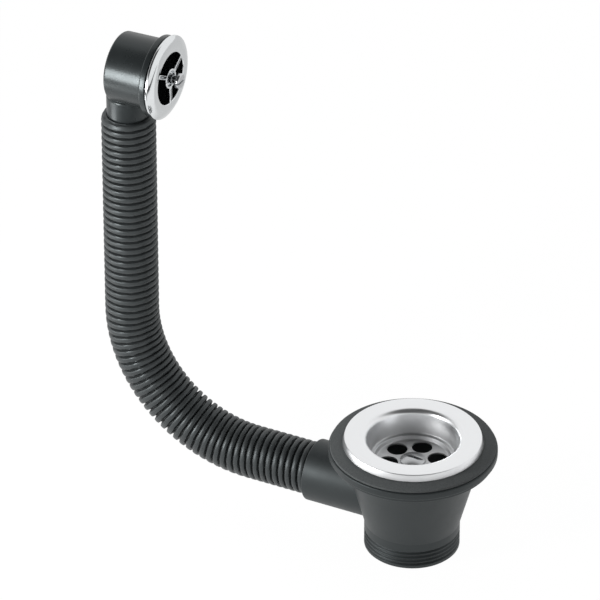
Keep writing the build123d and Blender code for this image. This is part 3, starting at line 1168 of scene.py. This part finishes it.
head = spin("overflow_head_moulding", rounded([
    (0, cup_back),
    (HEAD_CUP_R - HEAD_DRAFT, cup_back, 1.2),
    (HEAD_CUP_R, lip_front - LIP_T, 0.5),
    (LIP_R, lip_front - LIP_T, 0.7),
    (LIP_R, lip_front, 0.3),
    (0, lip_front),
]), EAST)
carve(head, spin("neck", rounded([
    (0, head_low.z),
    (NECK_R, head_low.z, 0.5),
    (NECK_R, NECK_TOP - NECK_SLOPE, 1.5),
    (NECK_R - NECK_SLOPE, NECK_TOP, 1.5),
    (0, NECK_TOP),
]), NECK, MEDIUM_SIDES), "UNION")
cup_r = HEAD_CUP_R - HEAD_WALL
cavity = rod("cavity", cup_r, cup_back + HEAD_WALL, lip_front + PAST, EAST, WIDE_TOOL_SIDES)
carve(head, cavity, "DIFFERENCE")
carve(head, spin("neck_bore", [
    (0, head_low.z - PAST),
    (NECK_R - NECK_WALL, head_low.z - PAST),
    (NECK_R - NECK_WALL, NECK_TOP - NECK_SLOPE - NECK_WALL / 2),
    (NECK_R - NECK_SLOPE - NECK_WALL / 2, NECK_TOP - NECK_WALL),
    (0, NECK_TOP - NECK_WALL),
], NECK, TOOL_SIDES), "DIFFERENCE")
print("head vertices", len(head.data.vertices))

# %% [markdown]
# ## Post in the head
#
# A post on the cup's back wall holds the brass bush for the rosette's screw. It starts inside the wall, so
# it is merged as it is.

# %% Post in the head
POST_R = 5.0
POST_BORE_R = 3.3
POST_BORE_H = 11.0
POST_SETBACK = 8.0
POST_ROOT = 1.0

post_front = lip_front - POST_SETBACK
post = spin("post", [
    (0, cup_back + POST_ROOT), (POST_R, cup_back + POST_ROOT), (POST_R, post_front),
    (POST_BORE_R, post_front), (POST_BORE_R, post_front - POST_BORE_H), (0, post_front - POST_BORE_H),
], EAST, SMALL_SIDES)
merge(head, [post])
dress(head, "overflow_head", charcoal)

# %% [markdown]
# ## Rosette ring and hub
#
# The rosette is a chrome ring that rises from its rim toward its bore, with a small hub in the middle.
# Chrome shows every flat spot, so the face is one smooth curve through the rim, the middle and the bore's
# edge, with many short steps. Behind the bore's edge the ring is hollowed, so that the edge looks thin.

# %% Rosette ring and hub
ROSETTE_BORE_R = 13.25
RIM_RISE = 1.1
MIDDLE_RISE = 3.0
BORE_RISE = 3.1
BORE_EDGE = 1.8
BORE_HOLLOW = 1.2
FACE_INSET = 0.4
FACE_LIFT = 0.25
BORE_INSET = 0.6
BORE_ROUND = 0.5
HUB_R = 5.05
HUB_H = 3.4
HUB_BORE_R = 2.15
HUB_SINK_R = 4.0
HUB_SINK = 1.8


def bow(start, middle, end, steps=16):
    """Points of the curve from start through middle to end, whose middle is halfway across."""
    points = []
    for step in range(steps + 1):
        way = step / steps
        weights = ((1 - way) * (1 - 2 * way), 4 * way * (1 - way), way * (2 * way - 1))
        pairs = list(zip(weights, (start, middle, end)))
        points.append(tuple(sum(weight * point[axis] for weight, point in pairs) for axis in (0, 1)))
    return points


rosette_back = rosette_low.x
rosette_r = rosette_high.y
bore_top = rosette_back + BORE_RISE
rosette = spin("chrome_rosette", rounded([
    (ROSETTE_BORE_R, bore_top - BORE_EDGE),
    (ROSETTE_BORE_R + BORE_HOLLOW, rosette_back),
    (rosette_r, rosette_back, 0.3),
    (rosette_r, rosette_back + RIM_RISE, 0.3),
    *bow(
        (rosette_r - FACE_INSET, rosette_back + RIM_RISE + FACE_LIFT),
        ((rosette_r + ROSETTE_BORE_R) / 2, rosette_back + MIDDLE_RISE),
        (ROSETTE_BORE_R + BORE_INSET, bore_top),
    ),
    (ROSETTE_BORE_R, bore_top, BORE_ROUND),
]), EAST)
hub_front = rosette_back + HUB_H
hub = spin("hub", rounded([
    (HUB_BORE_R, rosette_back),
    (HUB_R, rosette_back, 0.2),
    (HUB_R, hub_front, 0.5),
    (HUB_SINK_R, hub_front, 0.3),
    (HUB_SINK_R, hub_front - HUB_SINK, 0.2),
    (HUB_BORE_R, hub_front - HUB_SINK),
]), EAST, SMALL_SIDES)
print("rosette", round(2 * rosette_r, 1), "mm across, bore", 2 * ROSETTE_BORE_R, "mm")

# %% [markdown]
# ## Spokes
#
# Three thin spokes join the hub to the ring. Each is a box with soft edges and a shallow groove along its
# front, turned into place about the overflow's axis. Its ends sink a little into the hub and the ring, so
# no boolean is needed there.

# %% Spokes
SPOKES = 3
SPOKE_W = 2.2
SPOKE_T = 1.8
SPOKE_SOFT = 0.4
SPOKE_FRONT = 3.2
SPOKE_TURN = 30
SPOKE_START = HUB_SINK_R + 0.3
SPOKE_END = ROSETTE_BORE_R + 0.8
SPOKE_GROOVE_W = 0.8
SPOKE_GROOVE_H = 0.6
SPOKE_GROOVE_START = HUB_R + 0.6
SPOKE_GROOVE_END = ROSETTE_BORE_R - 0.8

spoke_front = rosette_back + SPOKE_FRONT
spokes = []
for arm in range(SPOKES):
    spoke = brick(
        "spoke",
        (spoke_front - SPOKE_T, -SPOKE_W / 2, SPOKE_START),
        (spoke_front, SPOKE_W / 2, SPOKE_END),
        SPOKE_SOFT,
    )
    groove = brick(
        "groove",
        (spoke_front - SPOKE_GROOVE_H, -SPOKE_GROOVE_W / 2, SPOKE_GROOVE_START),
        (spoke_front + PAST, SPOKE_GROOVE_W / 2, SPOKE_GROOVE_END),
    )
    carve(spoke, groove, "DIFFERENCE")
    turn = math.radians(SPOKE_TURN + 360 * arm / SPOKES - 90)
    spoke.data.transform(Matrix.Translation((0, 0, overflow_z * MM)) @ Matrix.Rotation(turn, 4, "X"))
    spokes.append(spoke)
merge(rosette, [hub, *spokes])
dress(rosette, "overflow_rosette", chrome)

# %% [markdown]
# ## Rosette gasket
#
# A flat rubber ring lies between the rosette and the head's lip, where the basin's wall is clamped. Only
# its edge shows, so it is a plain ring with slightly broken edges.

# %% Rosette gasket
ring_low, ring_high = span("overflow_gasket")
flat_gasket = spin("rosette_gasket", rounded([
    (cup_r, ring_low.x),
    (ring_high.y, ring_low.x, 0.2),
    (ring_high.y, ring_high.x, 0.2),
    (cup_r, ring_high.x),
]), EAST, MEDIUM_SIDES)
dress(flat_gasket, "overflow_gasket", seal_rubber)

# %% [markdown]
# ## Rosette screw
#
# The slotted screw in the hub pulls the rosette against the head. It is a few turns out, as in the
# photograph, so its shank shows in front of the hub. It is spun like the other turned pieces, and a box
# cuts its slot.

# %% Rosette screw
CLAMP_R = 2.1
CLAMP_HEAD_R = 3.8
CLAMP_HEAD_H = 2.4
CLAMP_SLOT_W = 1.1
CLAMP_SLOT_H = 1.2

clamp_low, clamp_high = span("overflow_screw")
clamp_seat = clamp_high.x - CLAMP_HEAD_H
clamp = spin("rosette_screw", rounded([
    (0, clamp_low.x),
    (CLAMP_R, clamp_low.x, 0.4),
    (CLAMP_R, clamp_seat),
    (CLAMP_HEAD_R, clamp_seat, 0.3),
    (CLAMP_HEAD_R, clamp_high.x, 1.0),
    (0, clamp_high.x),
]), EAST, SMALL_SIDES)
clamp_slot = brick(
    "slot",
    (clamp_high.x - CLAMP_SLOT_H, -CLAMP_HEAD_R - PAST, overflow_z - CLAMP_SLOT_W / 2),
    (clamp_high.x + PAST, CLAMP_HEAD_R + PAST, overflow_z + CLAMP_SLOT_W / 2),
)
carve(clamp, clamp_slot, "DIFFERENCE")
dress(clamp, "overflow_screw", bright_steel)

# %% [markdown]
# ## Hidden pieces
#
# The two brass bushes and the thin flange seal are plain turned rings inside the assembly. Their CAD solids
# have the right shape already, so they stay and only get their finish.

# %% Finishes on the hidden solids
for node, material in (("strainer_bush", brass), ("overflow_bush", brass), ("flange_seal", seal_rubber)):
    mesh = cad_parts[node].data
    mesh.materials.clear()
    mesh.materials.append(material)
    print(node, "keeps its solid, in", material.name)
